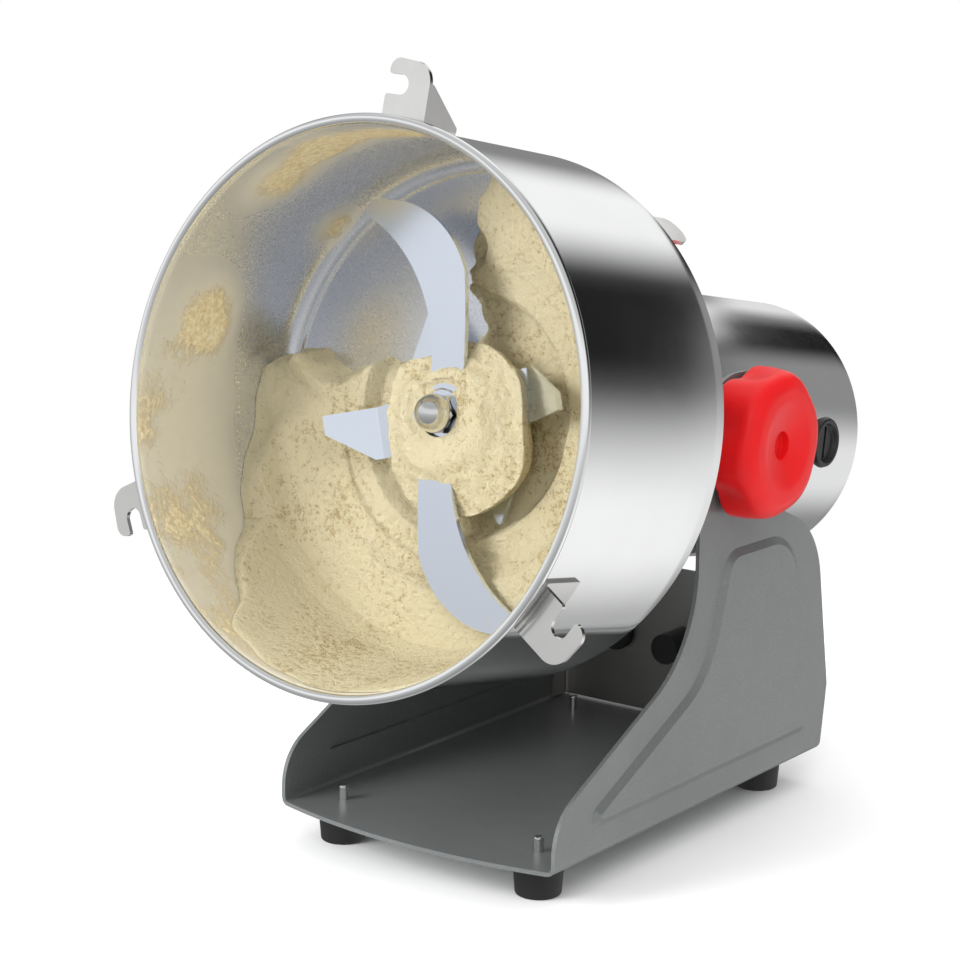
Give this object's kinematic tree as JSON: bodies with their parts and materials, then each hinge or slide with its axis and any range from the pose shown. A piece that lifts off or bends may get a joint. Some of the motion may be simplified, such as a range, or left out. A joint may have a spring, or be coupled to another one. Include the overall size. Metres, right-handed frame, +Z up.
{
  "type": "electric grain mill",
  "caption": "Tilting electric grain mill: steel bowl with spinning blades on a motor, held between the cheeks of a sheet base and locked by a knob.",
  "frame": {"origin": "on the table plane, straight below the middle of the tilt axis", "axes": "+X along the tilt axis to the knob's side, -Y the way the mouth faces, +Z up"},
  "size_m": [0.2634, 0.3664, 0.3687],
  "materials": {
    "grey_paint": "satin grey metallic powder coat",
    "brushed_panel": "brushed",
    "bright_steel": "polished",
    "black_rubber": "matte",
    "polished_steel": "polished stainless",
    "hook_steel": "satin stainless",
    "blade_steel": "ground",
    "cast_aluminium": "cast",
    "plain_steel": "turned",
    "copper": "enamelled copper",
    "black_plastic": "matte",
    "carbon": "matte",
    "soft_rubber": "matte",
    "red_plastic": "gloss",
    "white_plastic": "gloss",
    "brass": "turned"
  },
  "bodies": {
    "base": {"base_frame": "grey_paint", "rear_panel": "brushed_panel", "foot_front_left": "black_rubber", "foot_front_right": "black_rubber", "foot_rear_left": "black_rubber", "foot_rear_right": "black_rubber", "foot_screw_front_left": "bright_steel", "foot_screw_front_right": "bright_steel", "foot_screw_rear_left": "bright_steel", "foot_screw_rear_right": "bright_steel", "switch_housing": "black_plastic", "breaker_body": "black_plastic", "cord_gland": "soft_rubber", "pivot_bush_right": "brass", "pivot_bush_left": "brass", "clamp_washer_right": "plain_steel", "clamp_washer_left": "plain_steel"},
    "head": {"bowl": "polished_steel", "lid_hook_1": "hook_steel", "lid_hook_2": "hook_steel", "lid_hook_3": "hook_steel", "keeper_tab": "hook_steel", "motor_shell": "polished_steel", "front_bell": "cast_aluminium", "rear_bell": "cast_aluminium", "rear_cover": "cast_aluminium", "trunnion_right": "plain_steel", "trunnion_left": "plain_steel", "pivot_cap_nut_left": "bright_steel", "stator_core": "plain_steel", "field_coil_right": "copper", "field_coil_left": "copper", "brush_holder_right": "black_plastic", "brush_holder_left": "black_plastic", "carbon_brush_right": "carbon", "carbon_brush_left": "carbon", "brush_cap_right": "black_plastic", "brush_cap_left": "black_plastic", "front_bearing": "plain_steel", "rear_bearing": "plain_steel", "shaft_seal": "soft_rubber"},
    "rotor": {"motor_shaft": "plain_steel", "armature": "plain_steel", "commutator": "copper", "cooling_fan": "black_plastic", "hub_collar": "blade_steel", "blade_spacer_low": "blade_steel", "blade_spacer_mid": "blade_steel", "blade_top": "blade_steel", "blade_mid": "blade_steel", "blade_low": "blade_steel", "cap_nut": "bright_steel"},
    "knob": {"lock_knob": "red_plastic", "knob_insert": "brass"},
    "rocker": {"switch_rocker": "black_plastic"},
    "button": {"reset_button": "white_plastic"}
  },
  "joints": [
    {"name": "bowl_tilt", "type": "hinge", "parent": "base", "child": "head", "pos_m": [0, 0, 0.1917], "axis": [1, 0, 0], "range_deg": [-3, 20]},
    {"name": "blade_spin", "type": "hinge", "parent": "head", "child": "rotor", "pos_m": [0, 0, 0.1917], "axis": [0, -0.9877, 0.1564], "continuous": true},
    {"name": "knob_turn", "type": "hinge", "parent": "head", "child": "knob", "pos_m": [0, 0, 0.1917], "axis": [1, 0, 0], "range_deg": [0, 360]},
    {"name": "rocker_tip", "type": "hinge", "parent": "base", "child": "rocker", "pos_m": [0.04, 0.08575, 0.062], "axis": [1, 0, 0], "range_deg": [0, 12]},
    {"name": "button_push", "type": "slide", "parent": "base", "child": "button", "axis": [0, -1, 0], "range_m": [0, 0.0025], "stiffness_N_per_m": 400}
  ]
}
